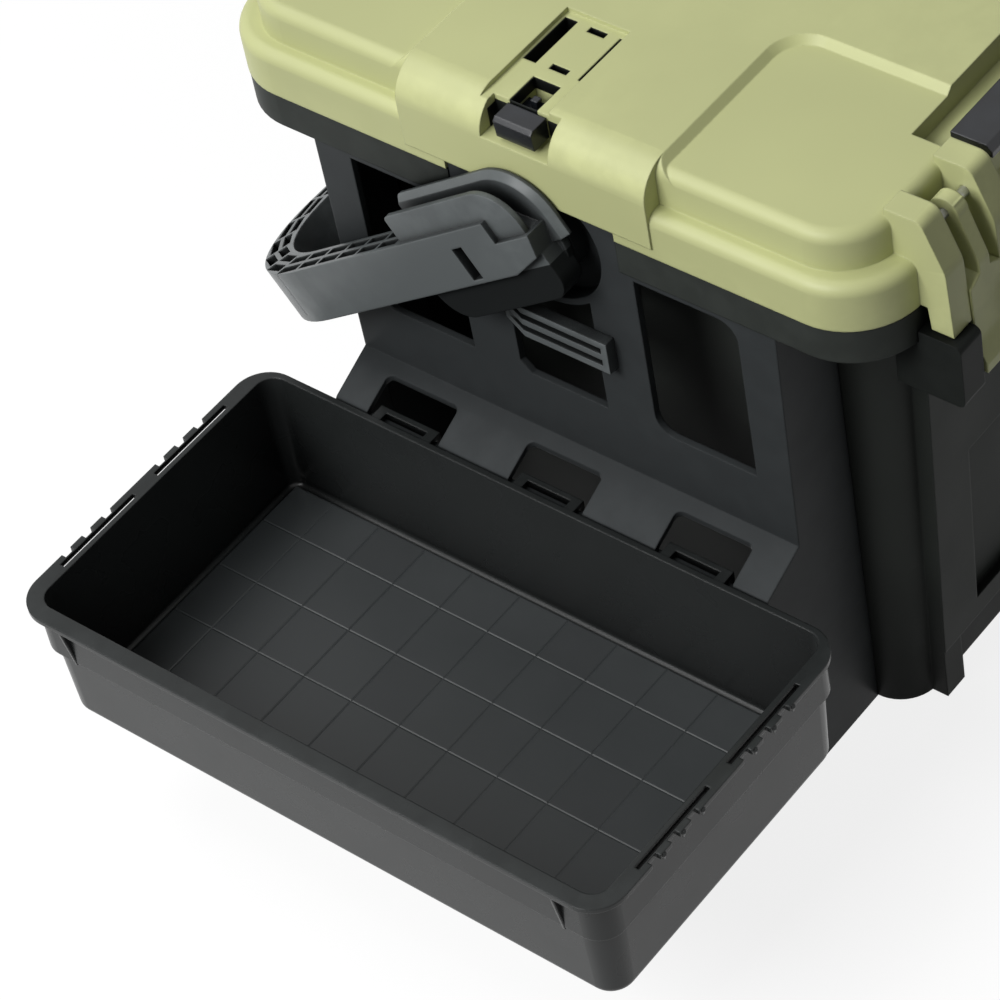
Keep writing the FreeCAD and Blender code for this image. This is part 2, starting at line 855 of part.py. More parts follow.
def hollow_lid(lid):
    """The inside of the lid: open rim ring, seal groove, and three nested hollows."""
    wall = s.lid_wall
    ring_top = s.lid_bottom + s.rim_ring_height
    ledge_inside = s.lid_bottom + s.ledge_height - wall
    ring = s.rim_ring_width
    lid.hollow(
        "top", s.lid_bottom, ring_top,
        rectangle(ring - lid_x, lid_x - ring, ring - lid_y, lid_y - ring, s.lid_corner - ring),
    )
    lid.hollow(
        "top", ring_top, ledge_inside,
        rectangle(wall - lid_x, lid_x - wall, wall - lid_y, lid_y - wall, s.lid_corner - wall),
    )
    inner_x, inner_y = top_x - wall, top_y - wall
    front = s.front_step_back - wall
    lid.hollow(
        "top", ledge_inside, front_step - wall,
        rectangle(-inner_x, inner_x, -inner_y, inner_y, s.top_corner - wall),
    )
    ceiling = lid_top - s.pad_sink - wall
    lid.hollow(
        "top", front_step - wall, ceiling,
        rectangle(-inner_x, inner_x, -front, inner_y, s.top_corner - wall),
    )
    seal = s.seal_width / 2 + s.seal_clearance
    lid.hollow("top", s.lid_bottom, s.lid_bottom + s.seal_height, *seal_loops(seal))
    for way in SIDES:
        x0, x1 = span(way * (s.frame_out - s.well_depth - s.body_gap), way * (lid_x + wall))
        half = s.tab_half + s.body_gap
        notch = rectangle(x0, x1, -half, half)
        lid.hollow("top", s.lid_bottom, tab_top + s.body_gap, notch)


def seal_loops(half_width):
    """The outer and inner outline of the seal's path, half a width to each side."""
    loops = []
    for offset in (half_width, -half_width):
        x = lid_x - s.seal_inset + offset
        y = lid_y - s.seal_inset + offset
        loops.append(rectangle(-x, x, -y, y, s.lid_corner - s.seal_inset + offset))
    return loops


def cut_sockets(lid):
    """The accessory socket in each end of the spine: sunk floor, slots, catch opening."""
    front, rear = -s.socket_front, s.socket_rear
    wall = s.lid_wall
    end = s.spine_length / 2 + wall
    mouth = s.catch_pin_in + s.catch_mouth
    throat = s.catch_pin_in - s.catch_back
    near = s.socket_inner + wall
    slots_end = throat - s.socket_slot
    blocks, floors, mouths, throats, slots = [], [], [], [], []
    for way in SIDES:
        x0, x1 = span(way * (s.socket_inner - wall), way * (s.spine_length / 2 - wall))
        blocks.append(rectangle(x0, x1, -s.mouth_front - wall, rear + wall))
        x0, x1 = span(way * s.socket_inner, way * end)
        floors.append(rectangle(x0, x1, front, rear))
        x0, x1 = span(way * mouth, way * end)
        mouths.append(rectangle(x0, x1, -s.mouth_front, s.mouth_rear))
        x0, x1 = span(way * throat, way * (mouth + s.body_gap))
        throats.append(rectangle(x0, x1, -s.throat_front, s.throat_rear))
        x0, x1 = span(way * near, way * slots_end)
        slots.append(rectangle(x0, x1, rear - s.socket_slot - s.socket_lip, rear - s.socket_lip))
        slots.append(rectangle(x0, x1, front, front + s.socket_slit))
        for hole in (near, slots_end - wall):
            x0, x1 = span(way * hole, way * (hole + wall))
            slots.append(rectangle(x0, x1, 0, s.socket_hole))
    lid.solid("top", s.socket_floor - wall, lid_top - s.pad_sink - wall, *blocks)
    floor = lid_top - s.socket_sink
    lid.hollow("top", floor, lid_top, *floors)
    lid.hollow("top", s.socket_floor, lid_top, *mouths)
    lid.hollow("top", s.socket_floor, floor, *throats)
    lid.hollow("top", s.socket_floor, floor, *slots)
    seat = s.catch_pin_radius + s.seat_gap
    bores = [(way * s.catch_pin_in, s.catch_pin_height, seat) for way in SIDES]
    ends = (-s.throat_front - s.catch_pin_seat, s.throat_rear + s.catch_pin_seat)
    lid.hollow("front", *ends, *bores)


def add_lid_knuckle(lid, place):
    """The lid's knuckle between two of the tub's."""
    half = s.knuckle_length / 2
    web = [
        (lid_y, s.hinge_height),
        (s.hinge_back, s.hinge_height),
        (s.hinge_back + s.knuckle_radius / 2, s.hinge_height + s.knuckle_radius / 2),
        (lid_y, s.hinge_height + 2 * s.knuckle_radius),
    ]
    lid.solid("side", place - half, place + half, web)
    axis = (s.hinge_back, s.hinge_height)
    lid.solid("side", place - half, place + half, (*axis, s.knuckle_radius))
    bore = s.hinge_pin_radius + s.running_gap
    lid.hollow("side", place - half, place + half, (*axis, bore))


def make_hinge_pin():
    """The left hinge pin, headed at both ends."""
    pin = Piece("hinge_pin_left")
    half = s.knuckle_length + s.knuckle_gap
    axis = (s.hinge_back, s.hinge_height)
    place = -s.hinge_place
    pin.solid("side", place - half, place + half, (*axis, s.hinge_pin_radius))
    for side in SIDES:
        low, high = span(place + side * half, place + side * (half + s.hinge_head_thickness))
        pin.solid("side", low, high, (*axis, s.hinge_head_radius))
    return pin


def make_seal():
    """The rubber seal in the lid's rim."""
    seal = Piece("lid_seal")
    top = s.lid_bottom + s.seal_height
    seal.solid("top", s.lid_bottom, top, *seal_loops(s.seal_width / 2))
    return seal


def make_front_plate():
    """The bare plate on the step between the latches."""
    plate = Piece("front_plate")
    bevel = s.plate_thickness / 2
    top = front_step + s.plate_thickness
    section = [
        (-s.plate_back, front_step),
        (-s.plate_back, top),
        (-s.plate_front + bevel, top),
        (-s.plate_front, top - bevel),
        (-s.plate_front, front_step),
    ]
    plate.solid("side", -s.plate_half, s.plate_half, section)
    return plate


# ---------------------------------------------------------------- latches
def make_latch():
    """The left latch lever: a knuckle on a narrow neck, a wide plate, a finger lip."""
    latch = Piece("latch_left")
    place = -s.latch_place
    half = s.ear_gap / 2 - s.latch_side_gap
    out, height = s.latch_pin_out, s.latch_pin_height
    knuckle = s.latch_knuckle
    low = s.latch_low
    tail = low + s.latch_tail
    front = -out - s.latch_bulge
    back = front + s.latch_thickness
    blade = [
        (-out, height + knuckle * 0.9),
        (-out - knuckle * 0.7, height + knuckle * 0.8),
        (front, height - s.latch_bend, s.latch_bend_round),
        (front - s.latch_lip / 5, tail, s.latch_thickness),
        (front - s.latch_lip, low + s.latch_lip_height),
        (front - s.latch_lip, low),
        (front, low),
        (back - s.latch_lip / 2, tail, s.latch_lip),
        (back, height - s.latch_bend - s.latch_lip, s.latch_thickness),
        (back + s.latch_lip / 2, height - 2 * knuckle),
        (-out + knuckle * 0.8, height - knuckle * 0.8),
    ]
    latch.solid("side", place - half, place + half, blade)
    above = height + 2 * knuckle
    cheeks = []
    for side in SIDES:
        inner, outer = place + side * s.latch_neck, place + side * (half + knuckle)
        cheeks.append([
            (inner, s.latch_shoulder),
            (outer, s.latch_shoulder - s.latch_shoulder_drop),
            (outer, above),
            (inner, above),
        ])
    latch.hollow("front", front - knuckle, knuckle - out, *cheeks)
    near, far = place - s.latch_neck, place + s.latch_neck
    latch.solid("side", near, far, (-out, height, knuckle))
    bore = s.latch_pin_radius + s.running_gap
    latch.hollow("side", near, far, (-out, height, bore))
    return latch


def make_latch_pin():
    """The pin through the left latch, seated in both ears."""
    pin = Piece("latch_pin_left")
    half = s.ear_gap / 2 + s.latch_pin_seat - s.seat_gap
    axis = (-s.latch_pin_out, s.latch_pin_height, s.latch_pin_radius)
    pin.solid("side", -s.latch_place - half, -s.latch_place + half, axis)
    return pin


def make_keeper():
    """The block under the left latch: two cheeks and the face that the lever meets."""
    keeper = Piece("latch_keeper_left")
    place = -s.latch_place
    inner = s.keeper_slot / 2
    outer = inner + s.keeper_side
    section = [
        (-s.keeper_back, s.keeper_low),
        (-s.keeper_out, s.keeper_low, s.band_wall),
        (-s.keeper_out, keeper_top, s.band_wall),
        (-rim_y, keeper_top),
        (-rim_y, band_low),
        (-s.keeper_back, band_low),
    ]
    keeper.solid("side", place - outer, place + outer, section)
    slot = rectangle(place - inner, place + inner, -s.keeper_out - s.band_wall, -s.keeper_face)
    keeper.hollow("top", s.keeper_low, keeper_top, slot)
    return keeper


# ---------------------------------------------------------------- sprung catches
def make_catch():
    """The left catch: a head in the socket's mouth on a short lever with a knob."""
    catch = Piece("accessory_catch_left")
    half = s.catch_lever / 2
    pin, height = s.catch_pin_in, s.catch_pin_height
    nose = pin + s.catch_nose_back
    tip = s.spine_length / 2 - s.socket_lip
    top = lid_top - s.lid_wall
    low = s.socket_floor + s.socket_sink
    head = [
        (-nose, low),
        (-nose, top),
        (half - tip, top),
        (-tip, top - half),
        (half / 2 - tip, low),
    ]
    catch.solid("front", -s.catch_front, s.catch_rear, head)
    front = s.body_gap - s.throat_front
    rear = s.throat_rear - s.body_gap
    lever = rectangle(-nose - half, half - pin, height - half, height + half)
    catch.solid("front", front, rear, lever)
    middle = (front + rear) / 2
    knob = rectangle(-pin - s.catch_lever, -pin, middle - half, middle + half)
    catch.solid("top", height, top - half, knob)
    bore = (-pin, height, s.catch_pin_radius + s.running_gap)
    catch.hollow("front", front, rear, bore)
    return catch


def make_catch_pin():
    """The small pin that the left catch rocks on."""
    pin = Piece("catch_pin_left")
    place = (-s.catch_pin_in, s.catch_pin_height, s.catch_pin_radius)
    inset = s.catch_pin_seat - s.seat_gap
    pin.solid("front", -s.throat_front - inset, s.throat_rear + inset, place)
    return pin


# ---------------------------------------------------------------- handle
def u_shape(out, reach, width, corner, start):
    """A band shaped like a U, in the handle's own plane: out and reach are its outside."""
    inside = corner - width
    return [
        (-out, start),
        (-out + width, start),
        (-out + width, reach - width, inside),
        (out - width, reach - width, inside),
        (out - width, start),
        (out, start),
        (out, reach, corner),
        (-out, reach, corner),
    ]


def make_handle():
    """The handle: a U of three rails with ribs between them, and a hub at each end.

    It is drawn flat, with its pivot line on the X axis and its grip along +Y, and then
    tilted down behind the tub.
    """
    handle = Piece("handle")
    low, high = -s.handle_below, s.handle_above
    shape = u_shape(s.handle_out, s.grip_reach, s.arm_width, s.handle_corner, 0)
    handle.solid("top", low, high, shape)
    for way in SIDES:
        add_hub(handle, way)
    cut_cells(handle, low + s.cell_floor, high)
    tilt = handle.body
    tilt.Placement = FreeCAD.Placement(
        Vector(0, 0, float(s.pivot_height)),
        FreeCAD.Rotation(Vector(-1, 0, 0), float(s.fold_angle)),
    )
    bind(tilt, "Placement.Base.z", s.pivot_height)
    tilt.setExpression("Placement.Rotation.Angle", f"{s.fold_angle.formula} * 1 deg")
    doc.recompute()
    return handle


def add_hub(handle, way):
    """The end of an arm: its nose, the lobe under it, the disc by the washer, the hood."""
    out, inner = s.handle_out, s.hub_inner
    arm_inner = out - s.arm_width
    wall = s.cover_wall
    heel, reach = -s.nose_heel, s.cover_reach
    low, high = span(way * inner, way * (arm_inner + wall))
    handle.solid("side", low, high, (0, 0, s.hub_radius))
    nose = [
        (s.running_gap, -s.handle_below),
        (s.running_gap, s.nose_high),
        (-s.nose_front, s.nose_high),
        (heel, -s.nose_low),
    ]
    low, high = span(way * arm_inner, way * out)
    handle.solid("side", low, high, nose)
    lobe = [
        (heel, -s.lobe_below, s.lobe_round),
        (s.lobe_reach, -s.lobe_below, s.lobe_below - s.handle_below),
        (s.lobe_reach, s.running_gap - s.handle_below),
        (heel, 0),
    ]
    low, high = span(way * (out - s.cell_floor), way * arm_inner)
    handle.solid("side", low, high, lobe)
    bed = s.handle_above + wall
    brow_out = out - wall
    floor = [(heel, 0), (reach, 0), (reach, bed), (0, bed), (heel, s.nose_high)]
    low, high = span(way * arm_inner, way * brow_out)
    handle.solid("side", low, high, floor)
    brow = [
        (heel, 0),
        (reach, 0),
        (reach, s.brow_top, wall),
        (heel, s.brow_top, s.brow_round),
    ]
    low, high = span(way * brow_out, way * (brow_out - wall))
    handle.solid("side", low, high, brow)
    hood = [
        (-s.cover_front, -s.nose_low),
        (reach, -s.nose_low),
        (reach, s.cover_top, s.cover_back),
        (-s.cover_front, s.cover_top, s.cover_round),
    ]
    face = way * (arm_inner + s.cover_back)
    low, high = span(way * arm_inner, face)
    handle.solid("side", low, high, hood)
    handle.soften(s.cover_bevel, lambda e: is_hood_edge(e, face, bed), "Chamfer")
    low, high = span(way * inner, way * (out - s.pivot_cover))
    handle.hollow("side", low, high, (0, 0, s.pivot_radius + s.running_gap))
    half = s.arm_slot_width / 2
    slot = rectangle(
        s.arm_slot_place - half, s.arm_slot_place + half, -s.arm_slot_low, s.arm_slot_high
    )
    low, high = span(way * (out - s.arm_slot_depth), way * out)
    handle.hollow("side", low, high, slot)


def is_hood_edge(edge, place, bed):
    """Tells whether an edge runs round the free side of a hood's back wall."""
    box = edge.BoundBox
    if abs(box.XMin - float(place)) + abs(box.XMax - float(place)) > 1e-3:
        return False
    return box.ZMax > float(bed) + 1 or box.YMax < -float(s.nose_front) - 1


def cut_cells(handle, low, high):
    """Two rows of cells between three rails, from the hood round both corners."""
    start = s.cover_reach + s.cover_wall
    rib = s.rib_wall / 2
    cell = (s.arm_width - 3 * s.rail_wall) / 2
    rows = [s.rail_wall, 2 * s.rail_wall + cell]

    pitch = (s.grip_reach - s.handle_corner - start) / s.arm_cells
    first = []
    for way in SIDES:
        for inset in rows:
            x0, x1 = span(way * (s.handle_out - inset), way * (s.handle_out - inset - cell))
            first.append(rectangle(x0, x1, start + rib, start + pitch - rib))
    handle.hollow("top", low, high, *first)
    handle.repeat("V", s.arm_cells, pitch * (s.arm_cells - 1))

    end = s.handle_out - s.handle_corner
    pitch = 2 * end / s.grip_cells
    first = [
        rectangle(rib - end, pitch - rib - end, s.grip_reach - inset - cell, s.grip_reach - inset)
        for inset in rows
    ]
    handle.hollow("top", low, high, *first)
    handle.repeat("H", s.grip_cells, pitch * (s.grip_cells - 1))

    turn = 90 / s.corner_cells
    for way in SIDES:
        origin = (way * end, s.grip_reach - s.handle_corner)
        first = [corner_cell(way, s.handle_corner - inset, cell, rib, turn) for inset in rows]
        handle.hollow("top", low, high, *first, origin=origin)
        handle.repeat("N", s.corner_cells, turn * (s.corner_cells - 1), backwards=way < 0)


def corner_cell(way, outside, depth, rib, turn):
    """The first cell of a fan about the origin, whose sides keep clear of two ribs."""
    inside = outside - depth
    slope = lean(turn)
    rise = rib / Size(math.cos(math.radians(float(turn))), f"cos({turn.formula} * 1 deg)")
    corners = [
        (inside, rib),
        (outside, rib),
        (outside, slope * outside - rise),
        (inside, slope * inside - rise),
    ]
    return flip(corners, way)


# ---------------------------------------------------------------- tray
def make_tray():
    """The tray that hangs on the left end by three staple-shaped hooks."""
    tray = Piece("hanging_tray")
    inner = -s.lip_out - s.tray_gap
    outer = inner - s.tray_width
    front = s.tray_shift - s.tray_length / 2
    rear = s.tray_shift + s.tray_length / 2
    top = s.tray_rim_height
    bottom = top - s.tray_depth
    draft = lean(s.tray_draft)

    def box(level, out, behind):
        """The wall's outline at a height, moved out in front and at the ends, or in behind."""
        inset = s.tray_rim_width + draft * (top - level) - out
        back = inner - s.tray_gap - draft * (top - level) - behind
        return rectangle(
            outer + inset, back, front + inset, rear - inset, s.tray_corner - s.tray_rim_width + out
        )

    tray.solid("top", bottom, top, box(bottom, 0, 0), draft=s.tray_draft)
    tray.soften(s.tray_floor_round, lambda e: lies_at(e, bottom))
    band = top - s.tray_band_height
    tray.solid("top", band, top, box(top, s.tray_band_out, 0))
    rim = rectangle(outer, inner, front, rear, s.tray_corner)
    tray.solid("top", top - s.tray_rim_thickness, top, rim)
    floor = bottom + s.tray_wall
    inside = box(top, -s.tray_wall, s.tray_wall)
    tray.hollow("top", floor, top, inside, draft=0 - s.tray_draft)
    tray.soften(s.tray_floor_round / 2, lambda e: lies_at(e, floor))
    cut_teeth(tray, outer, inner, top)
    add_hooks(tray, inner, top)
    return tray


def cut_teeth(tray, outer, inner, top):
    """Two slits in the rim of each short side, each with three notches outside it."""
    cuts = []
    for way in SIDES:
        end = s.tray_shift + way * s.tray_length / 2
        y0, y1 = span(end + way * s.tray_wall, end - way * s.tray_tooth_depth)
        root = end - way * s.tray_rim_width
        s0, s1 = span(root, root + way * s.tray_slit_width)
        for group in SIDES:
            middle = (outer + inner) / 2 + group * s.tray_slit_pitch / 2
            reach = s.tray_slit_length / 2
            cuts.append(rectangle(middle - reach, middle + reach, s0, s1))
            for number in (-1, 0, 1):
                place = middle - s.tray_tooth_shift + number * s.tray_tooth_pitch
                gap = s.tray_tooth_gap / 2
                cuts.append(rectangle(place - gap, place + gap, y0, y1))
    tray.hollow("top", top - s.tray_rim_thickness, top, *cuts)


def add_hooks(tray, edge, top):
    """Three staples: two legs over the end frame's edge and a bar that drops behind it."""
    seat = s.hook_slot_floor + s.body_gap
    crown = seat + s.hook_bar
    bar_back = s.frame_wall + 2 * s.body_gap - s.lip_out
    bar_front = bar_back + s.hook_bar
    half = s.hook_width / 2
    root = edge - s.tray_wall
    legs, bars = [], []
    for place in (-s.hook_slot_pitch, 0, s.hook_slot_pitch):
        legs.append(rectangle(root, bar_front, place - half, place - half + s.hook_leg))
        legs.append(rectangle(root, bar_front, place + half - s.hook_leg, place + half))
        bars.append(rectangle(bar_back, bar_front, place - half, place + half))
    tray.solid("top", seat, crown, *legs)
    tray.solid("top", seat - s.hook_drop, crown, *bars)


# ---------------------------------------------------------------- the whole
def mirrored(piece, name):
    """The right-hand twin of a left-hand piece."""
    twin = doc.addObject("Part::Mirroring", name)
    twin.Source = piece.body
    twin.Base = Vector(0, 0, 0)
    twin.Normal = Vector(1, 0, 0)
    twin.Label = name
    return twin


single = [make_tub(), make_lid(), make_seal(), make_front_plate(), make_handle(), make_tray()]
paired = [
    make_end_frame(),
    make_pivot(),
    make_washer(),
    make_rail(),
    make_hinge_pin(),
    make_keeper(),
    make_latch(),
    make_latch_pin(),
    make_catch(),
    make_catch_pin(),
]
nodes = [piece.body for piece in single + paired]
nodes += [mirrored(piece, piece.name.replace("left", "right")) for piece in paired]
doc.recompute()

failed = [o.Name for o in doc.Objects if {"Invalid", "Error"} & set(o.State)]
if failed:
    raise ValueError(f"these objects failed: {failed}")
os.makedirs("parts", exist_ok=True)
for node in nodes:
    shape = node.Shape
    if shape.isNull() or not shape.isValid():
        raise ValueError(f"{node.Label} has no valid shape")
    shape.exportStep(f"parts/{node.Label}.step")
    print(node.Label, len(shape.Solids), round(shape.Volume / 1000, 2), "cm3")
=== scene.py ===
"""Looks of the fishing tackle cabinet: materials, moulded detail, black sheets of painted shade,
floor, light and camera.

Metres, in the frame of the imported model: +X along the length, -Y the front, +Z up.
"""
import math

import bmesh
import bpy
from mathutils import Matrix, Vector


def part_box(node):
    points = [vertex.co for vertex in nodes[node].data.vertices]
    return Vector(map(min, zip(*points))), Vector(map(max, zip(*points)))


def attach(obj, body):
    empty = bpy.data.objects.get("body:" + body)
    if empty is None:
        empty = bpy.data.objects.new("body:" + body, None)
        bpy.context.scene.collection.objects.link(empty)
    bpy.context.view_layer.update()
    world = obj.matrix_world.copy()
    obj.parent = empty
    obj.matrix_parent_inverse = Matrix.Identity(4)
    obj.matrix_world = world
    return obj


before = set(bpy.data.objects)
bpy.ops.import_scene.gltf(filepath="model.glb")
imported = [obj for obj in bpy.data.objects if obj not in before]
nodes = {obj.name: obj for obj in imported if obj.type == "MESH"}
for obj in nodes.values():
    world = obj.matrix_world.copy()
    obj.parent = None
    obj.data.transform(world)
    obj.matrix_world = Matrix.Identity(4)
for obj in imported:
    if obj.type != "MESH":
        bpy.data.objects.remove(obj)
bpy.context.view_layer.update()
MM = 0.001
FOLD = 35.5              # degrees below level, the folded handle's arms
PIVOT_HEIGHT = 0.240
ARM_BELOW = 0.0062       # from the pivot's level to the arm's lower face
TRAY_RIM = 0.118         # height of the tray's rim
BEAD = 1.35 * MM         # radius of the beads in that rim
CATCH_FLOOR = 0.2829     # just above the floor of the catch opening
CAMERA_ANGLES = (-43.374, 46.449, -11.823)    # azimuth, elevation, roll
CAMERA_PLACE = (-1.0179, -0.7908, 1.2820)
MIDDLE = (-0.05, 0, 0.15)                     # what the lamps face


# ---------------------------------------------------------------- materials
class Graph:
    """A material's node tree with short ways to add nodes and links."""

    def __init__(self, name):
        self.material = bpy.data.materials.new(name)
        self.material.use_nodes = True
        self.tree = self.material.node_tree
        self.shader = next(n for n in self.tree.nodes if n.type == "BSDF_PRINCIPLED")
        self.output = next(n for n in self.tree.nodes if n.type == "OUTPUT_MATERIAL")

    def add(self, kind, **values):
        """A node with its properties and unlinked inputs set by name."""
        node = self.tree.nodes.new(kind)
        for key, value in values.items():
            if hasattr(node, key):
                setattr(node, key, value)
            else:
                node.inputs[key.replace("_", " ")].default_value = value
        return node

    def link(self, source, target):
        self.tree.links.new(source, target)

    def noise(self, scale, detail=3.0, stretch=(1, 1, 1)):
        """Noise over the object's own coordinates, as a factor output."""
        place = self.add("ShaderNodeTexCoord")
        mapping = self.add("ShaderNodeMapping")
        mapping.inputs["Scale"].default_value = stretch
        self.link(place.outputs["Object"], mapping.inputs["Vector"])
        texture = self.add("ShaderNodeTexNoise", Scale=scale, Detail=detail)
        self.link(mapping.outputs["Vector"], texture.inputs["Vector"])
        return texture.outputs["Fac"]

    def ramp(self, factor, *stops):
        """A colour ramp through (position, colour) stops."""
        node = self.add("ShaderNodeValToRGB")
        elements = node.color_ramp.elements
        while len(elements) < len(stops):
            elements.new(0.5)
        for element, (position, colour) in zip(elements, stops):
            element.position = position
            element.color = (*colour, 1)
        self.link(factor, node.inputs["Fac"])
        return node.outputs["Color"]

    def span(self, factor, low, high, out_low, out_high):
        """Maps a factor from one range to another."""
        node = self.add("ShaderNodeMapRange")
        names = ("From Min", "From Max", "To Min", "To Max")
        for key, value in zip(names, (low, high, out_low, out_high)):
            node.inputs[key].default_value = value
        self.link(factor, node.inputs["Value"])
        return node.outputs["Result"]


def shade(colour, amount):
    """A colour made lighter or darker by a share."""
    return tuple(min(1.0, max(0.0, c * amount)) for c in colour)


def plastic(name, colour, rough, gloss, edge=1.35, soft=0.0008, recess_shade=1.0, shade_plane=None):
    """Injection-moulded plastic: fine grain, faint flow marks, edges paler from wear and painted
    highlight, and painted shade in recesses.

    The last argument is a plane, as a normal and a level: what lies under it is painted black and
    matt, as painted shade.
    """
    g = Graph(name)
    shader = g.shader
    tone = g.ramp(g.noise(14.0, 2.0), (0.3, shade(colour, 0.96)), (0.7, shade(colour, 1.04)))
    # Paler edges by pointiness: partly edge wear, partly painted highlight where edges catch the
    # light.
    edge_wear_and_glint = g.span(g.add("ShaderNodeNewGeometry").outputs["Pointiness"], 0.52, 0.62, 0.0, 1.0)
    scuffs_and_glint = g.add("ShaderNodeMath", operation="MULTIPLY")
    g.link(edge_wear_and_glint, scuffs_and_glint.inputs[0])
    g.link(g.span(g.noise(90.0, 5.0), 0.40, 0.62, 0.2, 0.9), scuffs_and_glint.inputs[1])
    mix = g.add("ShaderNodeMix", data_type="RGBA")
    g.link(scuffs_and_glint.outputs["Value"], mix.inputs["Factor"])
    g.link(tone, mix.inputs["A"])
    mix.inputs["B"].default_value = (*shade(colour, edge), 1)
    # Painted shade: ambient occlusion darkens the colour in recesses and between parts, down to the
    # recess share.
    recess = g.add("ShaderNodeAmbientOcclusion", samples=6, Distance=0.045)
    inner = g.ramp(recess.outputs["AO"], (0.4, (recess_shade, recess_shade, recess_shade)), (0.92, (1, 1, 1)))
    both = g.add("ShaderNodeMix", data_type="RGBA", blend_type="MULTIPLY")
    both.inputs["Factor"].default_value = 1.0
    g.link(mix.outputs["Result"], both.inputs["A"])
    g.link(inner, both.inputs["B"])
    g.link(both.outputs["Result"], shader.inputs["Base Color"])
    # Painted shade: under the plane the colour turns black and the gloss drops.
    if shade_plane:
        place = g.add("ShaderNodeTexCoord")
        along = g.add("ShaderNodeVectorMath", operation="DOT_PRODUCT")
        along.inputs[1].default_value = shade_plane[0]
        g.link(place.outputs["Object"], along.inputs[0])
        under = g.span(along.outputs["Value"], shade_plane[1] - 0.0003, shade_plane[1], 1.0, 0.0)
        black = g.add("ShaderNodeMix", data_type="RGBA")
        g.link(under, black.inputs["Factor"])
        g.link(both.outputs["Result"], black.inputs["A"])
        black.inputs["B"].default_value = (*shade(colour, 0.14), 1)
        g.link(black.outputs["Result"], shader.inputs["Base Color"])
        g.link(g.span(under, 0.0, 1.0, gloss, 0.03), shader.inputs["Specular IOR Level"])
    else:
        shader.inputs["Specular IOR Level"].default_value = gloss
    uneven = g.span(g.noise(35.0, 3.0), 0.3, 0.7, rough - 0.03, rough + 0.03)
    g.link(uneven, shader.inputs["Roughness"])
    rounded = g.add("ShaderNodeBevel", samples=4)
    rounded.inputs["Radius"].default_value = soft
    fine = g.add("ShaderNodeBump", Strength=0.3, Distance=0.00002)
    g.link(g.noise(2600.0, 2.0), fine.inputs["Height"])
    g.link(rounded.outputs["Normal"], fine.inputs["Normal"])
    g.link(fine.outputs["Normal"], shader.inputs["Normal"])
    return g.material


def steel(name, colour, rough):
    """Drawn steel wire: fine lines along the pin and a few dull spots."""
    g = Graph(name)
    shader = g.shader
    tone = g.ramp(g.noise(80.0), (0.35, shade(colour, 0.8)), (0.65, colour))
    g.link(tone, shader.inputs["Base Color"])
    shader.inputs["Metallic"].default_value = 1.0
    spots = g.span(g.noise(500.0, 3.0, (1, 12, 12)), 0.3, 0.7, rough, rough + 0.15)
    g.link(spots, shader.inputs["Roughness"])
    lines = g.add("ShaderNodeBump", Strength=0.2, Distance=0.00002)
    g.link(g.noise(900.0, 2.0, (1, 14, 14)), lines.inputs["Height"])
    g.link(lines.outputs["Normal"], shader.inputs["Normal"])
    return g.material


def lobe_plane():
    """The plane between the folded arm and the lobe under it, in the handle's own axes; under it the
    handle is painted black as shade.
    """
    tilt = math.radians(FOLD)
    normal = Vector((0, math.sin(tilt), math.cos(tilt)))
    pivot = Vector((0, 0, PIVOT_HEIGHT))
    spot = nodes["handle"].matrix_world
    own = spot.to_3x3().transposed() @ normal
    return own, normal.dot(pivot - spot.translation) - ARM_BELOW


# Every plastic below gets painted shade in its recesses and paler edges, partly wear and partly
# painted highlight.
olive = plastic("olive_plastic", (0.455, 0.475, 0.232), 0.46, 0.35, edge=1.15, soft=0.001)
dark = plastic("dark_plastic", (0.030, 0.0335, 0.0305), 0.46, 0.05, edge=1.25, soft=0.0012, recess_shade=0.12)
# A darker black than the tub's plastic, used on the latch keepers.
darkest = plastic("darkest_plastic", (0.012, 0.0135, 0.0125), 0.46, 0.05, edge=1.25, recess_shade=0.3)
panel = plastic("frame_plastic", (0.034, 0.0375, 0.039), 0.38, 0.05, edge=1.2, soft=0.0012, recess_shade=0.5)
satin = plastic("grey_plastic", (0.094, 0.104, 0.106), 0.34, 0.2, edge=1.5, soft=0.001, recess_shade=0.08)
# The handle's plastic, with its lobes under the folded arm painted black and matt as shade.
handle_skin = plastic(
    "handle_plastic", (0.094, 0.104, 0.106), 0.34, 0.2, edge=1.5, soft=0.001, recess_shade=0.08,
    shade_plane=lobe_plane(),
)
glossy = plastic("black_plastic", (0.006, 0.007, 0.009), 0.26, 0.45, edge=2.0)
tray_skin = plastic("tray_plastic", (0.018, 0.020, 0.020), 0.28, 0.22, edge=1.5, soft=0.001, recess_shade=0.1)
# Floor tiles: the tray's plastic with a rougher finish, painted paler than the tray's walls as
# painted light on the floor; the duller copy goes on a scattered few tiles.
tile_skin = plastic("tile_plastic", (0.024, 0.027, 0.028), 0.40, 0.35, edge=1.3, soft=0.0003)
tile_dull = plastic("tile_plastic_dull", (0.021, 0.0235, 0.0245), 0.44, 0.33, edge=1.3, soft=0.0003)
wire = steel("pin_steel", (0.45, 0.45, 0.46), 0.3)
rubber = plastic("seal_rubber", (0.018, 0.018, 0.018), 0.75, 0.2)

FINISH = {
    "tub": dark, "end_frame": panel, "lid": olive, "latch": olive, "lid_seal": rubber,
    "front_plate": glossy, "handle": handle_skin, "hanging_tray": tray_skin, "hanger_rail": satin,
    "latch_keeper": darkest, "pivot_washer": glossy, "accessory_catch": glossy,
    "hinge_pin": wire, "handle_pivot": wire, "latch_pin": wire, "catch_pin": wire,
}
for name, node in nodes.items():
    stem = name.removesuffix("_left").removesuffix("_right")
    node.data.materials.clear()
    node.data.materials.append(FINISH[stem])


